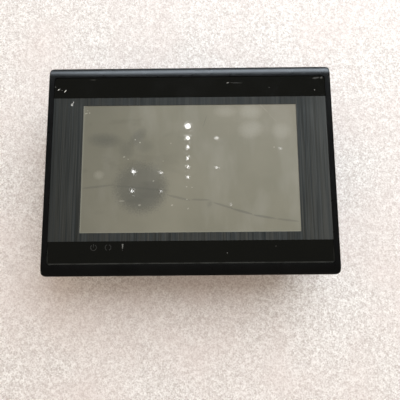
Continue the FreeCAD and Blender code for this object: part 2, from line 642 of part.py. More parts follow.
def make_jack_posts():
    posts = body("serial_jack_posts")
    ports = ("serial_a_x", "serial_b_x")
    places = [(f"({x}{side}post_spread)", SERIAL_Y) for x in ports for side in ("+", "-")]
    add(posts, "Z", f"{FLANGE_Z}-post_long", FLANGE_Z, *[hexagon(u, v, "post_flats") for u, v in places])
    tip = f"({FLANGE_Z}-post_long)"
    cut(posts, "Z", tip, f"{tip}+post_hole_deep", *[disc(u, v, "post_hole") for u, v in places])


def metal_shell(label, x, wide, tall, long):
    """A folded sheet-metal port shell standing on the board, open at the step."""
    shell = body(label)
    middle = f"({BOARD_BACK}+0.1+{tall}/2)"
    add(shell, "Z", MOUTH, f"{MOUTH}+{long}", block(x, middle, wide, tall))
    cut(shell, "Z", MOUTH, f"{MOUTH}+{long}-sheet_metal",
        block(x, middle, f"{wide}-2*sheet_metal", f"{tall}-2*sheet_metal"))
    return middle


def make_ethernet():
    middle = metal_shell("ethernet_jack", "ethernet_x", "jack_wide", "jack_tall", "jack_long")
    insert = body("ethernet_jack_insert")
    size = ("jack_wide-2*sheet_metal-0.1", "jack_tall-2*sheet_metal-0.1")
    rear = f"{MOUTH}+jack_long-sheet_metal-0.1"
    add(insert, "Z", f"{MOUTH}+0.3", rear, block("ethernet_x", middle, *size))
    low = f"({BOARD_BACK}+jack_open_up)"
    high = f"({low}+jack_open_tall)"
    cut(insert, "Z", f"{MOUTH}+0.3", f"{MOUTH}+13",
        span("ethernet_x-jack_open_wide/2", "ethernet_x+jack_open_wide/2", low, high))
    cut(insert, "Z", f"{MOUTH}+0.3", f"{MOUTH}+9",
        span("ethernet_x-latch_wide/2", "ethernet_x+latch_wide/2", high, f"{high}+latch_tall"))
    wires = body("ethernet_contacts")
    rows = [f"ethernet_x+({k}-3.5)*contact_step" for k in range(8)]
    outlines = [span(f"{x}-0.2", f"{x}+0.2", f"{low}+0.3", f"{low}+0.7") for x in rows]
    add(wires, "Z", f"{MOUTH}+3", f"{MOUTH}+13", *outlines)


def make_usb():
    middle = metal_shell("usb_host_port", "host_x", "host_wide", "host_tall", "host_long")
    inner = f"{MOUTH}+host_long-sheet_metal"
    slab("usb_host_tongue", "host_x-5.6", "host_x+5.6", f"{middle}+0.3", f"{middle}+2.1",
         f"{MOUTH}+1.2", inner)
    middle = metal_shell("usb_device_port", "device_x", "device_wide", "device_tall", "device_long")
    core = body("usb_device_core")
    size = ("device_wide-2*sheet_metal-0.1", "device_tall-2*sheet_metal-0.1")
    rear = f"{MOUTH}+device_long-sheet_metal-0.1"
    add(core, "Z", f"{MOUTH}+0.5", rear, block("device_x", middle, *size))
    opening = block("device_x", middle, "device_open_wide", "device_open_tall")
    tongue = block("device_x", middle, "tongue_wide", "tongue_tall")
    cut(core, "Z", f"{MOUTH}+0.5", f"{MOUTH}+10", opening, tongue)


# ---- setting switches and reset button ----

def make_dip_switch():
    case = body("dip_switch_body")
    middle = f"({BOARD_BACK}+dip_tall/2)"
    places = [f"(dip_x+({k})*dip_pitch)" for k in (-1.5, -0.5, 0.5, 1.5)]
    add(case, "Z", MOUTH, f"{MOUTH}+dip_long", block("dip_x", middle, "dip_wide", "dip_tall"))
    slots = [block(x, middle, "slider_wide+0.2", "dip_slot") for x in places]
    cut(case, "Z", MOUTH, f"{MOUTH}+1.3", *slots)
    low = f"({middle}-dip_travel/2-slider_tall/2)"
    for number, x in enumerate(places, 1):
        slab(f"dip_slider_{number}", f"{x}-slider_wide/2", f"{x}+slider_wide/2",
             low, f"{low}+slider_tall", f"{MOUTH}-slider_proud", f"{MOUTH}+1.2")


def make_reset_button():
    case = body("reset_switch")
    middle = f"({BOARD_BACK}+0.1+reset_size/2)"
    face = f"({BOARD_LOW})"
    bore = f"({face}+2.4+button_travel)"
    add(case, "Z", face, f"{face}+reset_size", block("reset_x", middle, "reset_size", "reset_size"))
    cut(case, "Z", face, bore, disc("reset_x", middle, "button_across+2*button_gap"))
    button = body("reset_button")
    add(button, "Z", f"{bore}-button_travel-button_long-0.2", f"{bore}-button_travel-0.2",
        disc("reset_x", middle, "button_across"))
    tip = value(f"{bore}-button_travel-button_long-0.2")
    soften(button, "0.4", lambda edge: near(edge.ZMin, edge.ZMax, tip))


# ---- rear cover ----

def port_opening(x, low, wide, tall):
    return span(f"{x}-({wide})/2-port_gap", f"{x}+({wide})/2+port_gap", f"{BOARD_BACK}+({low})-port_gap",
                f"{BOARD_BACK}+({low})+({tall})+port_gap")


def cover_shell(piece):
    """Shallow layer over the whole cut-out with the deep box above the step, hollow inside."""
    add(piece, "Y", SEAM, BOARD, soft_plate("skirt_wide", "skirt_tall", "skirt_corner"))
    middle = "(deep_high-step)/2"
    add(piece, "Y", BOARD, REAR, rounded("0", middle, "deep_wide", "deep_high+step", "deep_corner"))
    soften(piece, "cover_round", lambda edge: near(edge.YMin, edge.YMax, value(REAR)))
    cut(piece, "Y", SEAM, f"{BOARD}-wall", soft_plate("skirt_wide-2*wall", "skirt_tall-2*wall", "1"))
    cut(piece, "Y", SEAM, f"{REAR}-wall",
        rounded("0", middle, "deep_wide-2*wall", "deep_high+step-2*wall", "deep_corner-1.5"))


def cover_posts(piece):
    """A post at each corner guides the screw; the upper two are open all the way to the rear."""
    foot = f"({CHASSIS_BACK}+post_gap)"
    for u, v in BOSSES:
        top = f"({BOARD}-0.5)" if v.startswith("-") else f"({REAR}-1)"
        add(piece, "Y", foot, top, disc(u, v, "post_across"))
        cut(piece, "Y", WELL, REAR, disc(u, v, "head_across+well_gap"))
        cut(piece, "Y", foot, WELL, disc(u, v, SCREW_FREE))


def cover_openings(piece):
    inner = "(wall-step)"
    cut(piece, "Z", "-step", inner,
        port_opening("power_x", "0", "socket_wide", "socket_tall"),
        port_opening("ethernet_x", "0.1", "jack_wide", "jack_tall"),
        port_opening("host_x", "0.1", "host_wide", "host_tall"),
        port_opening("device_x", "0.1", "device_wide", "device_tall"),
        port_opening("dip_x", "0", "dip_wide", "dip_tall"),
        disc("reset_x", f"({BOARD_BACK}+0.1+reset_size/2)", "button_across+0.8"))
    for x in ("serial_a_x", "serial_b_x"):
        cut(piece, "Z", "-step", inner, port_opening(x, "0.05", "flange_wide", "flange_tall"))
    low = f"({SEAM}+clamp_edge)"
    for x in ("clamp_x", "-clamp_x"):
        hook = span(f"{x}-clamp_wide/2", f"{x}+clamp_wide/2", low, f"{low}+clamp_tall")
        for start in ("skirt_tall/2-wall", "-skirt_tall/2"):
            cut(piece, "Z", start, f"{start}+wall", hook)


def cover_vents(piece):
    """Slots in the rear face, left and right, and a row along the top wall."""
    end_round = "vent_wide/2-0.01"
    lowest = "vent_z-vent_pitch*4"
    for x in ("vent_x", "-vent_x"):
        outline = rounded(x, lowest, "vent_long", "vent_wide", end_round)
        slot = cut(piece, "Y", f"{REAR}-wall-0.1", REAR, outline)
        repeat(piece, slot, "Z_Axis", "vent_count", "vent_pitch")
    first = "-(top_vent_count-1)/2*vent_pitch"
    outline = rounded(first, f"({BOARD_BACK}+parts_room/2)", "vent_wide", "top_vent_long", end_round)
    slot = cut(piece, "Z", "deep_high-wall-0.1", "deep_high", outline)
    repeat(piece, slot, "X_Axis", "top_vent_count", "vent_pitch")


def make_rear_cover():
    piece = body("rear_cover")
    cover_shell(piece)
    cover_posts(piece)
    cover_openings(piece)
    cover_vents(piece)
    recess = rounded("0", "label_z", "label_wide+1", "label_tall+1", "2")
    cut(piece, "Y", f"{REAR}-label_deep", REAR, recess)
    screw_row("rear_cover_screws", BOSSES, WELL, f"{WELL}-{CHASSIS}+pilot_deep-0.5")
    label = body("rating_label")
    outline = rounded("0", "label_z", "label_wide", "label_tall", "1.5")
    add(label, "Y", f"{REAR}-label_deep", f"{REAR}-0.15", outline)


def check_and_write():
    doc.recompute()
    for item in doc.Objects:
        if {"Invalid", "Error"} & set(item.State):
            raise RuntimeError(f"{item.Name} of {item.getParentGeoFeatureGroup()} did not build")
    os.makedirs("parts", exist_ok=True)
    for piece in pieces:
        if piece.Shape.isNull() or not piece.Shape.isValid():
            raise RuntimeError(f"{piece.Label} has no valid shape")
        piece.Shape.exportStep(f"parts/{piece.Label}.step")


make_front_bezel()
make_film_and_glass()
make_screen()
make_cables()
make_chassis()
make_indicators()
make_gasket()
screw_row("chassis_screws", CHASSIS_POINTS, CHASSIS_BACK, "chassis_thick+pilot_deep-0.5")
make_main_board()
make_components()
make_power_terminal()
make_clamps()
make_serial_port("a", "serial_a_x", False)
make_serial_port("b", "serial_b_x", True)
make_jack_posts()
make_ethernet()
make_usb()
make_dip_switch()
make_reset_button()
make_rear_cover()
check_and_write()
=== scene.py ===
import math
import bmesh
import bpy
from mathutils import Matrix, Vector


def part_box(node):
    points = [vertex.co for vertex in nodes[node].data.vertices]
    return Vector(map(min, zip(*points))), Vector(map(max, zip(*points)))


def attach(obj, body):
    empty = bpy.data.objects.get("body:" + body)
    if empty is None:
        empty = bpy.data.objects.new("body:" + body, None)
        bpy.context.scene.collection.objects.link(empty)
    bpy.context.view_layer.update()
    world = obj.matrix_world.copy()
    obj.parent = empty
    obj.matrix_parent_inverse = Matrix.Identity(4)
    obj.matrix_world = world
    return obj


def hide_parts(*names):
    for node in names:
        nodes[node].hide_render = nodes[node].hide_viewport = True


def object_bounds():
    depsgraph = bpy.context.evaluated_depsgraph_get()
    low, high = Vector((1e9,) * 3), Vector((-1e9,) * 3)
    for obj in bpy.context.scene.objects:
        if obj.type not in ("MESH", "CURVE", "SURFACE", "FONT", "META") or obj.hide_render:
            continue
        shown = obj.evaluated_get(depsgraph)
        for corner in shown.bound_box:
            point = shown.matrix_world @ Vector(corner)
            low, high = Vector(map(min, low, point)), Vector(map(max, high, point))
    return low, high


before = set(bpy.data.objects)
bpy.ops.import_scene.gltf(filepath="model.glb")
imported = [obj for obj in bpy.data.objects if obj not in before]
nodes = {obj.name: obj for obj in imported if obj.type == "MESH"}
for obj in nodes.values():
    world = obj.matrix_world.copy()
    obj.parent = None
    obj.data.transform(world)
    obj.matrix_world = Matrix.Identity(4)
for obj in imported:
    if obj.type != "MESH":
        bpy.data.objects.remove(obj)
cad_low, cad_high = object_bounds()
MM = 0.001

# The film's opening and the line where its gloss bands meet the brushed zone, as half sizes.
WINDOW_X = 76.2 * MM
WINDOW_Z = 45.72 * MM
BAND_Z = 51.4 * MM
FILM_CORNER = 2.3 * MM


# ---- shader helpers: every pattern is placed by the object's own coordinates, in metres ----

# Marks: scale and strength of the noise that frays their outlines, then where their masks fade out,
# as squared shares of the radius. A width in millimetres between SOFT_WIDTHS gets the soft edge.
MARK_GRAIN = 1100
MARK_RAGGED = 1.6
CRISP_EDGE = (0.6, 1.3)
SOFT_EDGE = (-0.2, 1.5)
SOFT_WIDTHS = (3, 30)
# Colour of the dark marks: smears and a scratch, and painted reflections on the touch surface.
DARK_SMEAR_AND_REFLECTION = (0.07, 0.074, 0.07)


class Paint:
    """A Principled material with a few shorthand ways to add procedural detail."""

    def __init__(self, name, colour, rough, metal=0.0, coat=0.0, coat_rough=0.05, ior=1.5):
        self.mat = bpy.data.materials.new(name)
        self.mat.use_nodes = True
        self.tree = self.mat.node_tree
        self.shader = self.tree.nodes["Principled BSDF"]
        self.place = self.tree.nodes.new("ShaderNodeTexCoord").outputs["Object"]
        self.set("Base Color", (*colour, 1))
        self.set("Roughness", rough)
        self.set("Metallic", metal)
        self.set("Coat Weight", coat)
        self.set("Coat Roughness", coat_rough)
        self.set("IOR", ior)

    def set(self, name, value):
        self.feed(self.shader.inputs[name], value)

    def feed(self, socket, value):
        if isinstance(value, bpy.types.NodeSocket):
            self.tree.links.new(value, socket)
        else:
            socket.default_value = value

    def stretched(self, stretch, shift=(0, 0, 0)):
        mapping = self.tree.nodes.new("ShaderNodeMapping")
        mapping.inputs["Scale"].default_value = stretch
        mapping.inputs["Location"].default_value = shift
        self.tree.links.new(self.place, mapping.inputs["Vector"])
        return mapping.outputs["Vector"]

    def noise(self, scale, detail=3.0, stretch=(1, 1, 1), shift=(0, 0, 0)):
        node = self.tree.nodes.new("ShaderNodeTexNoise")
        node.inputs["Scale"].default_value = scale
        node.inputs["Detail"].default_value = detail
        self.tree.links.new(self.stretched(stretch, shift), node.inputs["Vector"])
        return node.outputs["Fac"]

    def cells(self, scale):
        node = self.tree.nodes.new("ShaderNodeTexVoronoi")
        node.inputs["Scale"].default_value = scale
        self.tree.links.new(self.place, node.inputs["Vector"])
        return node.outputs["Distance"]

    def axis(self, letter):
        node = self.tree.nodes.new("ShaderNodeSeparateXYZ")
        self.tree.links.new(self.place, node.inputs[0])
        return node.outputs[letter]

    def math(self, kind, a, b=0.0):
        node = self.tree.nodes.new("ShaderNodeMath")
        node.operation = kind
        self.feed(node.inputs[0], a)
        self.feed(node.inputs[1], b)
        return node.outputs[0]

    def band(self, value, low, high, from_value=0.0, to_value=1.0):
        """value taken from low..high to from_value..to_value, held at the ends."""
        node = self.tree.nodes.new("ShaderNodeMapRange")
        self.feed(node.inputs["Value"], value)
        node.inputs["From Min"].default_value = low
        node.inputs["From Max"].default_value = high
        node.inputs["To Min"].default_value = from_value
        node.inputs["To Max"].default_value = to_value
        return node.outputs["Result"]

    def weighted(self, a, share_a, b, share_b):
        first = self.math("MULTIPLY", a, share_a)
        return self.math("ADD", first, self.math("MULTIPLY", b, share_b))

    def squared(self, value, unit):
        ratio = self.math("DIVIDE", value, unit)
        return self.math("MULTIPLY", ratio, ratio)

    def spot(self, x, z, long, wide, turn, share, edge):
        """An uneven oval mark, in millimetres and degrees, as a mask no stronger than share."""
        cos, sin = math.cos(math.radians(turn)), math.sin(math.radians(turn))
        right = self.math("SUBTRACT", self.axis("X"), x * MM)
        up = self.math("SUBTRACT", self.axis("Z"), z * MM)
        along = self.squared(self.weighted(right, cos, up, sin), long / 2 * MM)
        aside = self.squared(self.weighted(up, cos, right, -sin), wide / 2 * MM)
        ragged = self.math("SUBTRACT", self.noise(MARK_GRAIN, 2), 0.5)
        reach = self.weighted(self.math("ADD", along, aside), 1.0, ragged, MARK_RAGGED)
        return self.band(reach, *edge, share, 0.0)

    def marked(self, base, marks, pale):
        """base with marks on it; a strength below zero is a dark mark, for smears and for painted
        reflections.
        """
        for x, z, long, wide, turn, share in marks:
            edge = SOFT_EDGE if SOFT_WIDTHS[0] < wide < SOFT_WIDTHS[1] else CRISP_EDGE
            mask = self.spot(x, z, long, wide, turn, abs(share), edge)
            base = self.mix(mask, base, pale if share > 0 else DARK_SMEAR_AND_REFLECTION)
        return base

    def mix(self, share, a, b):
        node = self.tree.nodes.new("ShaderNodeMix")
        node.data_type = "RGBA"
        self.feed(node.inputs["Factor"], share)
        first, second = (socket for socket in node.inputs if socket.type == "RGBA")
        for socket, value in ((first, a), (second, b)):
            self.feed(socket, value if isinstance(value, bpy.types.NodeSocket) else (*value, 1))
        return next(out for out in node.outputs if out.type == "RGBA")

    def bump(self, height, distance, strength=1.0):
        node = self.tree.nodes.new("ShaderNodeBump")
        node.inputs["Strength"].default_value = strength
        node.inputs["Distance"].default_value = distance
        self.tree.links.new(height, node.inputs["Height"])
        self.set("Normal", node.outputs["Normal"])


def moulded(name, dark, light, rough, grain=2600, depth=0.04 * MM, coat=0.0):
    """Moulded plastic: uneven tone, fine spark texture, slightly uneven gloss."""
    paint = Paint(name, dark, rough, coat=coat)
    tone = paint.band(paint.noise(38, 4), 0.35, 0.68)
    paint.set("Base Color", paint.mix(tone, dark, light))
    paint.set("Roughness", paint.band(paint.noise(170, 3), 0.3, 0.7, rough - 0.06, rough + 0.07))
    paint.bump(paint.noise(grain, 2), depth, 0.35)
    return paint


def metal(name, dark, light, rough, stretch=(1, 1, 1)):
    """Plated or rolled metal: clouded tone and fine grain, drawn out where stretch is below 1."""
    paint = Paint(name, dark, rough, metal=1.0)
    cloud = paint.noise(60, 4)
    lines = paint.noise(900, 2, stretch)
    tone = paint.weighted(cloud, 0.6, lines, 0.4)
    paint.set("Base Color", paint.mix(paint.band(tone, 0.35, 0.65), dark, light))
    paint.set("Roughness", paint.band(lines, 0.3, 0.7, rough - 0.07, rough + 0.1))
    paint.bump(lines, 0.02 * MM, 0.25)
    return paint


def dress(name, paint):
    """Give a CAD node one material."""
    mesh = nodes[name].data
    mesh.materials.clear()
    mesh.materials.append(paint.mat)


# ---- camera at the photograph's angle ----

PITCH_UP, YAW, TWIST = 8.37, 0.14, -0.5
EYE_AWAY = 273.9 * MM

front_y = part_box("front_bezel")[0].y
eye = Vector((7.48 * MM, front_y - EYE_AWAY, -63.8 * MM))


def make_camera():
    data = bpy.data.cameras.new("camera")
    data.lens = 36
    data.sensor_width = 36
    data.clip_start = 0.01
    camera = bpy.data.objects.new("camera", data)
    bpy.context.scene.collection.objects.link(camera)
    turn = Matrix.Rotation(math.radians(90), 3, "X") @ Matrix.Rotation(math.radians(YAW), 3, "Y")
    turn = turn @ Matrix.Rotation(math.radians(PITCH_UP), 3, "X")
    turn = turn @ Matrix.Rotation(math.radians(TWIST), 3, "Z")
    camera.matrix_world = Matrix.Translation(eye) @ turn.to_4x4()
    bpy.context.scene.camera = camera
    bpy.context.scene.view_settings.view_transform = "Standard"


make_camera()


# ---- stage: the pale foam sheet behind the panel, seen from the front only ----

SHEET_HALF = 1.2
SHEET_GAP = 0.6 * MM


def make_stage():
    mesh = bpy.data.meshes.new("stage_sheet")
    sheet = bpy.data.objects.new("stage_sheet", mesh)
    bpy.context.scene.collection.objects.link(sheet)
    half, y = SHEET_HALF, cad_high.y + SHEET_GAP
    corners = [(-half, y, -half), (half, y, -half), (half, y, half), (-half, y, half)]
    mesh.from_pydata(corners, [], [(0, 1, 2, 3)])
    paint = Paint("pale_foam_sheet", (0.84, 0.81, 0.8), 0.75)
    grain = paint.weighted(paint.noise(950, 2), 0.65, paint.noise(380, 3, shift=(5, 0, 2)), 0.35)
    base = paint.mix(paint.band(grain, 0.36, 0.64), (0.58, 0.53, 0.515), (1.0, 0.985, 0.98))
    cloud = paint.band(paint.noise(17, 3), 0.4, 0.68)
    paint.set("Base Color", paint.mix(paint.math("MULTIPLY", cloud, 0.4), base, (0.8, 0.7, 0.68)))
    paint.bump(grain, 0.5 * MM, 0.5)
    tree = paint.tree
    clear = tree.nodes.new("ShaderNodeBsdfTransparent")
    side = tree.nodes.new("ShaderNodeNewGeometry")
    choose = tree.nodes.new("ShaderNodeMixShader")
    tree.links.new(side.outputs["Backfacing"], choose.inputs[0])
    tree.links.new(paint.shader.outputs[0], choose.inputs[1])
    tree.links.new(clear.outputs[0], choose.inputs[2])
    tree.links.new(choose.outputs[0], tree.nodes["Material Output"].inputs["Surface"])
    mesh.materials.append(paint.mat)
    sheet.visible_diffuse = False
    sheet.visible_glossy = False
    sheet.visible_transmission = False
    sheet.visible_shadow = False


# ---- light: watts for the lamps, strengths for the room ----

FILL_FRONT, FILL_BEHIND = 0.66, 0.7
MIRROR_FRONT, MIRROR_BEHIND = 0.085, 0.6
BACKDROP = 0.85
KEY_POWER = 17
CEILING_POWER = 17
REAR_LEFT_POWER = 11
REAR_RIGHT_POWER = 5

# Each small lamp stands this many times as far from the front as the camera does.
LAMP_REACH = 8

# x and z of each lamp's mirror image on the front, its width, all in millimetres, and its power
LAMPS = [
    (-1.5, 29.8, 30, 0.12), (-1.5, 21, 20, 0.06), (-1.5, 14.4, 16, 0.03), (-1.5, 6.4, 14, 0.02),
    (-1.5, 0.3, 12, 0.015), (-1.5, -7.2, 12, 0.012), (19, 20.8, 13, 0.014),
    (18.6, -0.3, 11, 0.008), (-39.6, -3.1, 20, 0.03), (-20.2, -3.8, 14, 0.011),
    (-40.3, -16.7, 17, 0.02), (-20.4, -16.9, 12, 0.007), (64, 12.3, 10, 0.005),
    (28, -26.8, 10, 0.004),
]


def area_light(name, place, aim, wide, tall, power, colour, glossy=True, diffuse=True):
    data = bpy.data.lights.new(name, "AREA")
    data.shape = "RECTANGLE"
    data.size = wide
    data.size_y = tall
    data.energy = power
    data.color = colour
    light = bpy.data.objects.new(name, data)
    bpy.context.scene.collection.objects.link(light)
    light.location = place
    light.rotation_euler = (Vector(aim) - Vector(place)).to_track_quat("-Z", "Y").to_euler()
    light.visible_glossy = glossy
    light.visible_diffuse = diffuse
    return light


def room_shade(tree, low, high, dark, bright):
    """World strength that goes from dark in front of the panel to bright behind it."""
    place = tree.nodes.new("ShaderNodeTexCoord")
    split = tree.nodes.new("ShaderNodeSeparateXYZ")
    shade = tree.nodes.new("ShaderNodeMapRange")
    tree.links.new(place.outputs["Generated"], split.inputs[0])
    tree.links.new(split.outputs["Y"], shade.inputs["Value"])
    limits = {"From Min": low, "From Max": high, "To Min": dark, "To Max": bright}
    for name, number in limits.items():
        shade.inputs[name].default_value = number
    return shade.outputs["Result"]


def make_room():
    """Warm soft fill everywhere, a dim room in front for reflections and a pale backdrop behind."""
    world = bpy.data.worlds.new("room")
    world.use_nodes = True
    bpy.context.scene.world = world
    tree = world.node_tree
    fill = tree.nodes["Background"]
    fill.inputs["Color"].default_value = (1, 0.85, 0.71, 1)
    shade = room_shade(tree, -0.2, 0.5, FILL_FRONT, FILL_BEHIND)
    tree.links.new(shade, fill.inputs["Strength"])
    mirror = tree.nodes.new("ShaderNodeBackground")
    mirror.inputs["Color"].default_value = (1, 0.98, 0.9, 1)
    shade = room_shade(tree, 0.25, 0.9, MIRROR_FRONT, MIRROR_BEHIND)
    tree.links.new(shade, mirror.inputs["Strength"])
    backdrop = tree.nodes.new("ShaderNodeBackground")
    backdrop.inputs["Color"].default_value = (0.9, 0.88, 0.87, 1)
    backdrop.inputs["Strength"].default_value = BACKDROP
    rays = tree.nodes.new("ShaderNodeLightPath")
    reflected = tree.nodes.new("ShaderNodeMixShader")
    seen = tree.nodes.new("ShaderNodeMixShader")
    tree.links.new(rays.outputs["Is Glossy Ray"], reflected.inputs[0])
    tree.links.new(fill.outputs[0], reflected.inputs[1])
    tree.links.new(mirror.outputs[0], reflected.inputs[2])
    tree.links.new(rays.outputs["Is Camera Ray"], seen.inputs[0])
    tree.links.new(reflected.outputs[0], seen.inputs[1])
    tree.links.new(backdrop.outputs[0], seen.inputs[2])
    tree.links.new(seen.outputs[0], tree.nodes["World Output"].inputs["Surface"])


def ceiling_lamp(number, x, z, across, power):
    """A small lamp whose mirror image in the screen appears at x, z on the front plane."""
    spot = Vector((x, front_y, z))
    way = spot - eye
    way.y = -way.y
    place = spot + way * LAMP_REACH
    lamp = area_light(f"ceiling_lamp_{number}", place, spot, across, across, power, (1, 1, 1))
    lamp.data.shape = "DISK"


def make_lights():
    centre = (0, 0, 0)
    area_light("key", (0.5, -0.9, 0.7), centre, 1.2, 1.2, KEY_POWER,
               (0.84, 0.94, 1.0), glossy=False)
    area_light("ceiling", (0.1, -0.52, 1.0), (0.05, -0.2, 0), 1.2, 0.66, CEILING_POWER,
               (0.8, 0.9, 1.0), diffuse=False)
    area_light("rear_left", (-0.6, 0.9, 0.5), centre, 0.8, 0.8, REAR_LEFT_POWER,
               (1, 0.98, 0.95), glossy=False)
    area_light("rear_right", (0.7, 0.7, -0.2), centre, 0.6, 0.6, REAR_RIGHT_POWER,
               (0.95, 0.97, 1), glossy=False)
    for number, (x, z, across, power) in enumerate(LAMPS, 1):
        ceiling_lamp(number, x * MM, z * MM, across * MM, power)


make_stage()
make_room()
make_lights()


# ---- materials ----

def bezel_paint():
    """Black moulded bezel with a fine grain, dust in places and rubbed corners."""
    paint = Paint("bezel_plastic", (0.004, 0.004, 0.005), 0.32)
    tone = paint.band(paint.noise(45, 5), 0.35, 0.7)
    base = paint.mix(tone, (0.0008, 0.0009, 0.001), (0.0022, 0.0023, 0.0024))
    dust = paint.band(paint.noise(900, 4), 0.62, 0.78)
    patch = paint.band(paint.noise(28, 3, shift=(3, 0, 1)), 0.5, 0.72)
    dust = paint.math("MULTIPLY", paint.math("MULTIPLY", dust, patch), 0.12)
    base = paint.mix(dust, base, (0.12, 0.12, 0.12))
    across = paint.math("ABSOLUTE", paint.axis("X"))
    edge_x = paint.band(across, cad_high.x - 5 * MM, cad_high.x - 1 * MM)
    edge_z = paint.band(paint.axis("Z"), cad_high.z - 14 * MM, cad_high.z - 9 * MM)
    worn = paint.band(paint.noise(1300, 3), 0.55, 0.62)
    rub = paint.math("MULTIPLY", paint.math("MULTIPLY", edge_x, edge_z), worn)
    paint.set("Base Color", paint.mix(paint.math("MULTIPLY", rub, 0.12), base, (0.3, 0.3, 0.3)))
    paint.set("Roughness", paint.band(paint.noise(220, 3), 0.3, 0.7, 0.27, 0.36))
    paint.bump(paint.noise(3200, 2), 0.03 * MM, 0.3)
    return paint


# Marks: x, z, length, width, turn and strength, in millimetres and degrees. A strength below zero
# is a dark mark, which stands for smears and for painted reflections.
BAND_MARKS = [
    (-94.7, 58.1, 1.5, 0.8, 35, 0.9), (-92.2, 57.5, 0.5, 0.4, 0, 0.4),
    (-89.9, 56.9, 2.4, 0.6, 52, 0.9), (-97.2, 60.2, 0.6, 0.3, 90, 0.4),
    (91.6, 65.3, 5.0, 1.3, 6, 0.07), (95.6, 65.5, 2.0, 1.4, 30, 0.1),
    (90.3, 56.2, 0.8, 0.45, 0, 0.4), (27.7, 62.3, 1.6, 0.45, 16, 0.5),
    (33.5, 62.1, 9.0, 0.14, -3, 0.2), (57.5, 58.4, 0.6, 0.4, 0, 0.14),
    (25, -60, 0.55, 0.55, 0, 0.25), (58.3, -55.6, 0.5, 0.5, 0, 0.16),
    (-70.0, 65.4, 4.0, 0.3, -2, 0.1),
]
BRUSHED_MARKS = [
    (-84.6, 46.9, 2.1, 1.3, 50, 0.5), (-83.6, 48.4, 1.2, 0.5, 75, 0.7),
    (-84.4, 46.0, 1.6, 0.5, 0, 0.6),
]
SCREEN_MARKS = [
    # a painted reflection of a round dark thing, as the dark disc of the first two marks, and the
    # smears above it
    (-34.5, -14.5, 36, 35, 0, -0.46), (-32, -20, 27, 18, 8, -0.3), (-60.5, 20, 23, 10, -4, -0.46),
    (-37, 22, 15, 8, 48, -0.44), (-45, 13, 13, 10, 100, -0.3), (-32, 15.5, 12, 8, 0, -0.24),
    # a painted reflection of a thin dark curve: the wavy dark line, from left to right
    (-65, -13.4, 22, 1.6, 6, -0.28), (-35, -14.6, 40, 1.4, -6, -0.2),
    (-8, -21.6, 17, 1.6, -14, -0.28), (7, -23.2, 14, 1.4, -2, -0.28),
    (13.6, -26, 5, 3.2, 60, -0.26), (23, -27.4, 15, 1.4, -18, -0.3),
    (36, -31.6, 15, 1.6, -16, -0.36), (51, -35.4, 16, 1.6, -10, -0.36),
    (67, -37.9, 16, 1.4, -7, -0.3),
    # scratches, and chips near the upper left corner
    (53, 43, 10, 0.24, -47, 0.4), (59.5, 35.6, 9, 0.2, -47, 0.22), (10.8, 33.4, 10, 0.3, 72, -0.5),
    (-74.1, 40.1, 2.2, 0.7, 20, 0.5), (-71.9, 40.4, 0.9, 0.9, 0, 0.5),
    (-73.4, 42.2, 1.0, 0.6, 0, 0.35),
    # pale clouds
    (43.8, 40.4, 16, 11, 0, 0.22), (43.2, 27.2, 17, 12, 10, 0.22), (65, 26, 13, 11, 0, 0.16),
    (25.4, 40.6, 15, 8, 0, 0.18),
    # dust flecks with painted glints, and one more cloud
    (-38.8, 20.3, 0.9, 0.8, 0, 0.7), (-35.4, 18.2, 1.0, 0.9, 0, 0.7),
    (-46.5, 7.8, 1.6, 0.8, 20, 0.5), (-43.6, 6.1, 1.0, 0.7, 0, 0.35),
    (-13.5, 17.4, 1.0, 0.8, 50, 0.35), (-18.9, 4.6, 0.8, 0.7, 0, 0.3),
    (59.5, 14, 0.9, 0.8, 0, 0.6), (-2.4, -14, 1.0, 0.8, 0, 0.5), (1.3, -14.4, 1.2, 0.7, 0, 0.35),
    (-2.3, -22.8, 1.0, 0.7, 0, 0.5), (-1.5, -29.3, 1.4, 0.8, 60, 0.4),
    (-12.6, -26.8, 1.6, 0.9, 20, 0.5), (-35.2, -26.6, 1.8, 1.2, 10, 0.35),
    (-25.6, -9.6, 1.4, 0.9, 40, 0.4), (-47.6, -23.6, 4.2, 1.0, 0, 0.25), (-64, -5, 7, 6, 0, 0.2),
]


def band_paint():
    """Gloss black film print: hairlines, corner chips, dust and painted highlight at its lower
    edge.
    """
    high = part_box("front_overlay")[1]
    paint = Paint("film_gloss_black", (0.003, 0.003, 0.003), 0.09)
    hair = paint.band(paint.noise(260, 2, (1, 1, 9)), 0.66, 0.7)
    base = paint.mix(paint.math("MULTIPLY", hair, 0.03), (0.0042, 0.0044, 0.0036), (0.1, 0.1, 0.1))
    base = paint.marked(base, BAND_MARKS, (0.75, 0.75, 0.72))
    # Painted highlight: a pale line along the lower edge and the lower ends of the sides, where the
    # bezel's rim faces the light, broken up like dust.
    above = paint.math("ADD", paint.axis("Z"), high.z - 0.35 * MM)
    edge = paint.band(paint.math("ABSOLUTE", above), 0.35 * MM, 0.6 * MM, 1, 0)
    across = paint.math("ABSOLUTE", paint.axis("X"))
    side = paint.band(across, high.x - 0.7 * MM, high.x - 0.45 * MM)
    side = paint.math("MULTIPLY", side, paint.band(paint.axis("Z"), -60 * MM, -55 * MM, 1, 0))
    dust = paint.math("MAXIMUM", edge, paint.math("MULTIPLY", side, 0.55))
    uneven = paint.band(paint.noise(120, 4, (1, 1, 3)), 0.3, 0.62, 0.35, 1)
    dust = paint.math("MULTIPLY", dust, uneven)
    dust = paint.math("MULTIPLY", dust, 0.55)
    paint.set("Base Color", paint.mix(dust, base, (0.07, 0.072, 0.067)))
    paint.set("Roughness", paint.band(paint.noise(90, 4), 0.35, 0.7, 0.07, 0.16))
    paint.bump(paint.noise(24, 2), 0.2 * MM, 0.08)
    return paint


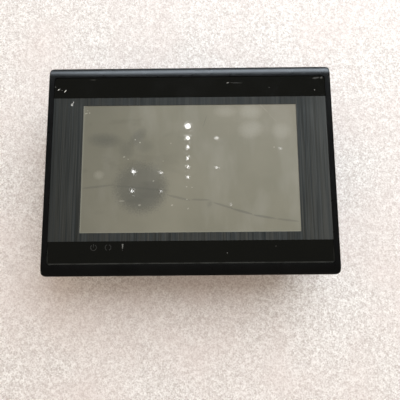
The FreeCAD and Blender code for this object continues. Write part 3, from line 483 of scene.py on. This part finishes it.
def brushed_paint():
    """Printed brushed metal: streaks that run up and down, over a charcoal ground."""
    paint = Paint("film_brushed_charcoal", (0.04, 0.045, 0.05), 0.4, metal=0.1, ior=1.43)
    fine = paint.noise(2600, 1, (1, 1, 0.012))
    coarse = paint.noise(1250, 1, (1, 1, 0.011), (7, 0, 2))
    streak = paint.weighted(fine, 0.5, coarse, 0.5)
    tint = paint.band(paint.noise(800, 2, (1, 1, 0.014), (4, 0, 1)), 0.4, 0.6)
    light = paint.mix(tint, (0.063, 0.065, 0.06), (0.057, 0.064, 0.065))
    dark = paint.mix(tint, (0.023, 0.025, 0.0235), (0.02, 0.0245, 0.027))
    base = paint.mix(paint.band(streak, 0.36, 0.64), dark, light)
    # Painted shade: the left end and the top of the zone are darker, as the light falls there.
    left = paint.band(paint.axis("X"), -98 * MM, -60 * MM, 0.5, 0.1)
    top = paint.band(paint.axis("Z"), 38 * MM, 48 * MM, 0, 0.45)
    base = paint.mix(paint.math("MAXIMUM", left, top), base, (0.02, 0.022, 0.021))
    # Painted light: the right end is lighter, as the light falls there.
    right = paint.band(paint.axis("X"), 80 * MM, 98 * MM, 0, 0.3)
    base = paint.mix(right, base, (0.088, 0.09, 0.086))
    base = paint.marked(base, BRUSHED_MARKS, (0.75, 0.76, 0.75))
    paint.set("Base Color", base)
    paint.set("Roughness", paint.band(streak, 0.35, 0.65, 0.29, 0.37))
    paint.bump(streak, 0.02 * MM, 0.25)
    return paint


def screen_paint():
    """Clear-coated touch surface over a dark screen: warm grey with smears and scratches."""
    # Painted reflection: the warm grey base stands for the lit room scattered by the matt surface
    # over the dark screen.
    paint = Paint("touch_surface", (0.2, 0.19, 0.15), 0.34, coat=1.0, coat_rough=0.035)
    cloud = paint.band(paint.noise(16, 4), 0.3, 0.7)
    base = paint.mix(cloud, (0.182, 0.179, 0.14), (0.24, 0.233, 0.186))
    smear = paint.band(paint.noise(75, 5, (1, 1, 0.35), (2, 0, 5)), 0.5, 0.75)
    base = paint.mix(paint.math("MULTIPLY", smear, 0.4), base, (0.3, 0.295, 0.255))
    stain = paint.band(paint.noise(38, 4, (1, 1, 2.2), (9, 0, 4)), 0.56, 0.64)
    stain = paint.math("MULTIPLY", stain, paint.band(paint.axis("X"), -60 * MM, 0.0, 0.38, 0.05))
    base = paint.mix(stain, base, (0.12, 0.115, 0.09))
    across, up = paint.axis("X"), paint.axis("Z")
    # Painted shade: the left side is darker, as the light falls.
    left = paint.band(across, -78 * MM, -10 * MM, 0.42, 0)
    base = paint.mix(left, base, (0.12, 0.12, 0.098))
    # Painted light: the upper right is lighter, as the light falls.
    right = paint.math("MULTIPLY", paint.band(across, 0, 76 * MM), paint.band(up, 8 * MM, 44 * MM))
    base = paint.mix(paint.math("MULTIPLY", right, 0.5), base, (0.27, 0.25, 0.205))
    base = paint.marked(base, SCREEN_MARKS, (0.55, 0.54, 0.48))
    # Painted highlight: a pale line along the window's left and bottom edges, where the film's cut
    # edge catches the light.
    side = paint.band(across, -WINDOW_X, -75 * MM, 0.3, 0)
    foot = paint.band(up, -45.7 * MM, -44.7 * MM, 0.2, 0)
    base = paint.mix(paint.math("MAXIMUM", side, foot), base, (0.42, 0.42, 0.36))
    paint.set("Base Color", base)
    paint.set("Roughness", paint.band(smear, 0.0, 1.0, 0.28, 0.4))
    paint.bump(paint.noise(6000, 2), 0.01 * MM, 0.15)
    return paint


def label_paint():
    """Blank satin label film: a printed frame and empty rows, no lettering."""
    margin, half_row = 2 * MM, 2.5 * MM
    low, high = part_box("rating_label")
    paint = Paint("label_film", (0.4, 0.4, 0.39), 0.35)
    tone = paint.band(paint.noise(30, 4), 0.3, 0.7)
    base = paint.mix(tone, (0.36, 0.36, 0.35), (0.43, 0.43, 0.42))
    middle = (low + high) / 2
    across = paint.math("ABSOLUTE", paint.math("SUBTRACT", paint.axis("X"), middle.x))
    up = paint.math("ABSOLUTE", paint.math("SUBTRACT", paint.axis("Z"), middle.z))
    gap_x = paint.math("SUBTRACT", high.x - middle.x - margin, across)
    gap_z = paint.math("SUBTRACT", high.z - middle.z - margin, up)
    inside = paint.math("MINIMUM", gap_x, gap_z)
    frame_line = paint.band(paint.math("ABSOLUTE", inside), 0.12 * MM, 0.22 * MM, 1, 0)
    row = paint.math("PINGPONG", paint.math("ADD", paint.axis("Z"), 1.0), half_row)
    row_line = paint.band(row, 0.09 * MM, 0.17 * MM, 1, 0)
    row_line = paint.math("MULTIPLY", row_line, paint.band(inside, 1.9 * MM, 2 * MM))
    print_mask = paint.math("MAXIMUM", frame_line, paint.math("MULTIPLY", row_line, 0.7))
    paint.set("Base Color", paint.mix(print_mask, base, (0.05, 0.05, 0.052)))
    paint.set("Roughness", paint.band(paint.noise(140, 3), 0.3, 0.7, 0.28, 0.42))
    paint.bump(paint.noise(1500, 2), 0.01 * MM, 0.2)
    return paint


def cover_paint():
    """Black moulded housing: spark-eroded grain, long soft scuffs and a little dust in patches."""
    paint = Paint("cover_plastic", (0.011, 0.0115, 0.012), 0.48)
    tone = paint.band(paint.noise(26, 5), 0.32, 0.7)
    base = paint.mix(tone, (0.0085, 0.009, 0.0095), (0.0155, 0.016, 0.017))
    scuff = paint.band(paint.noise(210, 3, (0.12, 1, 1)), 0.66, 0.72)
    patch = paint.band(paint.noise(14, 2, shift=(2, 1, 5)), 0.5, 0.62)
    scuff = paint.math("MULTIPLY", paint.math("MULTIPLY", scuff, patch), 0.22)
    base = paint.mix(scuff, base, (0.16, 0.16, 0.16))
    dust = paint.math("MULTIPLY", paint.band(paint.noise(1400, 3), 0.58, 0.7), patch)
    paint.set("Base Color", paint.mix(paint.math("MULTIPLY", dust, 0.1), base, (0.3, 0.29, 0.27)))
    paint.set("Roughness", paint.band(paint.noise(120, 4), 0.3, 0.7, 0.42, 0.56))
    paint.bump(paint.noise(1900, 2), 0.12 * MM, 0.45)
    return paint


def board_paint():
    """Green solder mask with faint copper tracks under it."""
    paint = Paint("board_green", (0.01, 0.08, 0.035), 0.3, coat=0.4)
    tracks = paint.band(paint.cells(240), 0.42, 0.46)
    paint.set("Base Color", paint.mix(tracks, (0.008, 0.06, 0.026), (0.02, 0.13, 0.05)))
    paint.set("Roughness", paint.band(paint.noise(300, 3), 0.3, 0.7, 0.25, 0.4))
    paint.bump(tracks, 0.03 * MM, 0.4)
    return paint


def dress_nodes():
    steel = metal("zinc_steel", (0.42, 0.43, 0.45), (0.66, 0.67, 0.69), 0.33)
    shell = metal("port_shell", (0.5, 0.51, 0.53), (0.74, 0.75, 0.77), 0.27, (0.03, 1, 1))
    brass = metal("nickel_brass", (0.5, 0.38, 0.16), (0.75, 0.6, 0.32), 0.3)
    gold = metal("gold_flash", (0.75, 0.5, 0.16), (0.9, 0.66, 0.28), 0.22)
    can = metal("drawn_can", (0.6, 0.61, 0.63), (0.78, 0.79, 0.8), 0.25)
    black_steel = metal("black_oxide", (0.02, 0.02, 0.022), (0.05, 0.05, 0.054), 0.38)
    foam = moulded("black_foam", (0.012, 0.012, 0.012), (0.03, 0.03, 0.03), 0.9, 1400, 0.2 * MM)
    rubber = moulded("gasket_rubber", (0.012, 0.012, 0.013), (0.028, 0.028, 0.03), 0.62, 1800,
                     0.08 * MM)
    white = moulded("white_nylon", (0.62, 0.61, 0.57), (0.74, 0.73, 0.7), 0.42)
    black = moulded("black_nylon", (0.008, 0.008, 0.009), (0.02, 0.02, 0.022), 0.42)
    cover = cover_paint()
    chip = moulded("moulded_epoxy", (0.01, 0.01, 0.011), (0.022, 0.022, 0.024), 0.55)
    ferrite = moulded("ferrite", (0.03, 0.03, 0.032), (0.06, 0.06, 0.062), 0.6)
    amber = moulded("polyimide", (0.42, 0.17, 0.02), (0.6, 0.28, 0.05), 0.3, coat=0.3)
    clear = moulded("clear_acrylic", (0.62, 0.65, 0.68), (0.72, 0.75, 0.78), 0.12)
    green = moulded("terminal_green", (0.015, 0.13, 0.045), (0.03, 0.2, 0.075), 0.42)
    blue = moulded("switch_blue", (0.01, 0.035, 0.16), (0.02, 0.06, 0.24), 0.4)
    dark_glass = moulded("screen_glass", (0.02, 0.021, 0.023), (0.03, 0.031, 0.034), 0.15)
    board = board_paint()
    looks = {
        "front_bezel": bezel_paint(), "touch_panel": screen_paint(), "rating_label": label_paint(),
        "touch_seal": foam, "flange_gasket": rubber, "lcd_panel": dark_glass,
        "lcd_housing": steel, "chassis_plate": steel, "chassis_screws": steel,
        "board_screws": steel, "serial_jack_posts": steel, "coin_cell": can,
        "electrolytic_capacitors": can, "board_standoffs": brass, "touch_tail": amber,
        "lcd_ribbon": amber, "lcd_connector": white, "touch_connector": white,
        "coin_cell_holder": white, "indicator_light_pipes": clear, "indicator_leds": white,
        "indicator_board": board, "main_board": board, "processor": chip, "memory_chips": chip,
        "power_inductor": ferrite, "small_components": ferrite, "buzzer": black,
        "power_terminal": green, "serial_port_a": shell, "serial_port_b": shell,
        "serial_port_a_insert": black, "serial_port_b_insert": black, "serial_port_b_pins": gold,
        "ethernet_jack": shell, "ethernet_jack_insert": black, "ethernet_contacts": gold,
        "usb_host_port": shell, "usb_host_tongue": white, "usb_device_port": shell,
        "usb_device_core": white, "dip_switch_body": blue, "reset_switch": black,
        "reset_button": black, "rear_cover": cover, "rear_cover_screws": black_steel,
    }
    for number in (1, 2, 3):
        looks[f"terminal_screw_{number}"] = steel
        looks[f"wire_clamp_{number}"] = brass
    for number in (1, 2, 3, 4):
        looks[f"dip_slider_{number}"] = white
    for name, paint in looks.items():
        dress(name, paint)


dress_nodes()


# ---- printed film: gloss bands above and below, brushed zone, open window ----

CORNER_STEPS = 6
NEAR = 1e-6


def arc_corner(x, z, start):
    """Points of a film corner about its centre, from start degrees on."""
    angles = [math.radians(start + 90 * k / CORNER_STEPS) for k in range(CORNER_STEPS + 1)]
    return [(x + FILM_CORNER * math.cos(a), z + FILM_CORNER * math.sin(a)) for a in angles]


def film_shape():
    """The film's front plates, each with side walls and open behind.

    Material 0 is on the gloss bands, 1 on the brushed zone and 2 on the walls.
    """
    low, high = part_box("front_overlay")
    half_x, half_z = high.x, high.z
    inner_x, inner_z = half_x - FILM_CORNER, half_z - FILM_CORNER
    shape = bmesh.new()

    def plate(points, material):
        face = shape.faces.new([shape.verts.new((x, low.y, z)) for x, z in points])
        face.material_index = material

    def oblong(left, bottom, right, top):
        plate([(left, bottom), (right, bottom), (right, top), (left, top)], 1)

    top = arc_corner(inner_x, inner_z, 0) + arc_corner(-inner_x, inner_z, 90)
    plate([(-half_x, BAND_Z), (half_x, BAND_Z)] + top, 0)
    bottom = arc_corner(-inner_x, -inner_z, 180) + arc_corner(inner_x, -inner_z, 270)
    plate([(half_x, -BAND_Z), (-half_x, -BAND_Z)] + bottom, 0)
    oblong(-half_x, -BAND_Z, -WINDOW_X, BAND_Z)
    oblong(WINDOW_X, -BAND_Z, half_x, BAND_Z)
    oblong(-WINDOW_X, WINDOW_Z, WINDOW_X, BAND_Z)
    oblong(-WINDOW_X, -BAND_Z, WINDOW_X, -WINDOW_Z)
    bmesh.ops.remove_doubles(shape, verts=shape.verts, dist=NEAR)
    edges = [edge for edge in shape.edges if edge.is_boundary]
    made = bmesh.ops.extrude_edge_only(shape, edges=edges)
    for item in made["geom"]:
        if isinstance(item, bmesh.types.BMVert):
            item.co.y = high.y
    for face in shape.faces:
        if face.calc_center_median().y > low.y + NEAR:
            face.material_index = 2
    bmesh.ops.recalc_face_normals(shape, faces=shape.faces)
    shape.normal_update()
    front = next(face for face in shape.faces if face.material_index < 2)
    if front.normal.y > 0:
        bmesh.ops.reverse_faces(shape, faces=shape.faces)
    return shape


def make_film():
    mesh = bpy.data.meshes.new("printed_film")
    film = bpy.data.objects.new("printed_film", mesh)
    bpy.context.scene.collection.objects.link(film)
    shape = film_shape()
    shape.to_mesh(mesh)
    shape.free()
    edge_paint = moulded("film_edge", (0.02, 0.021, 0.024), (0.05, 0.052, 0.058), 0.3)
    for paint in (band_paint(), brushed_paint(), edge_paint):
        mesh.materials.append(paint.mat)
    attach(film, "panel_unit")
    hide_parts("front_overlay")


make_film()


# ---- indicator symbols printed on the lower band ----

SYMBOL_PITCH = 9.9 * MM
RING = 2.2 * MM
LINE = 0.5 * MM
DOT = 0.7 * MM

# How far the ink's faces stand in front of the film.
INK_FRONT = 0.02 * MM
INK_BACK = 0.002 * MM

RING_STEPS = 20


def ring_piece(shape, x, z, start, stop, y):
    """A flat arc of the ring's width, angles in degrees counter-clockwise from +X."""
    rows = []
    for k in range(RING_STEPS + 1):
        a = math.radians(start + (stop - start) * k / RING_STEPS)
        rows.append([shape.verts.new((x + radius * math.cos(a), y, z + radius * math.sin(a)))
                     for radius in (RING - LINE, RING)])
    for low, high in zip(rows, rows[1:]):
        shape.faces.new((low[0], low[1], high[1], high[0]))


def bar_piece(shape, x, z, wide_low, wide_high, tall, y):
    """A flat bar that may taper, with small cut corners."""
    cut = min(wide_low, wide_high) * 0.25
    low, high = z - tall / 2, z + tall / 2
    a, b = wide_low / 2, wide_high / 2
    outline = [(-a + cut, low), (a - cut, low), (a, low + cut), (b, high - cut),
               (b - cut, high), (-b + cut, high), (-b, high - cut), (-a, low + cut)]
    shape.faces.new([shape.verts.new((x + across, y, up)) for across, up in outline])


def ink_piece(name, shape, dark, light, back_y):
    """A symbol piece: flat faces given a thickness, in printed ink."""
    made = bmesh.ops.extrude_face_region(shape, geom=list(shape.faces))
    for item in made["geom"]:
        if isinstance(item, bmesh.types.BMVert):
            item.co.y = back_y
    bmesh.ops.recalc_face_normals(shape, faces=shape.faces)
    mesh = bpy.data.meshes.new(name)
    shape.to_mesh(mesh)
    shape.free()
    mesh.materials.append(moulded(name + "_ink", dark, light, 0.35).mat)
    piece = bpy.data.objects.new(name, mesh)
    bpy.context.scene.collection.objects.link(piece)
    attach(piece, "panel_unit")


def make_symbols():
    """Power, run and alarm symbols over the three light pipes."""
    film_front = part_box("front_overlay")[0].y
    low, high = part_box("indicator_light_pipes")
    x, z = (low.x + high.x) / 2, (low.z + high.z) / 2
    y = film_front - INK_FRONT
    rings = bmesh.new()
    ring_piece(rings, x - SYMBOL_PITCH, z, 125, 415, y)
    bar_piece(rings, x - SYMBOL_PITCH, z + 1.2 * MM, LINE, LINE, 2.3 * MM, y)
    ring_piece(rings, x, z, 112, 248, y)
    ring_piece(rings, x, z, -68, 68, y)
    bar_piece(rings, x + SYMBOL_PITCH, z - 1.9 * MM, DOT, DOT, DOT, y)
    bar = bmesh.new()
    bar_piece(bar, x + SYMBOL_PITCH, z + 0.75 * MM, 0.6 * MM, 1.0 * MM, 3.2 * MM, y)
    back = film_front - INK_BACK
    ink_piece("symbol_rings", rings, (0.022, 0.022, 0.021), (0.04, 0.04, 0.038), back)
    ink_piece("symbol_bar", bar, (0.1, 0.1, 0.095), (0.2, 0.2, 0.19), back)


make_symbols()
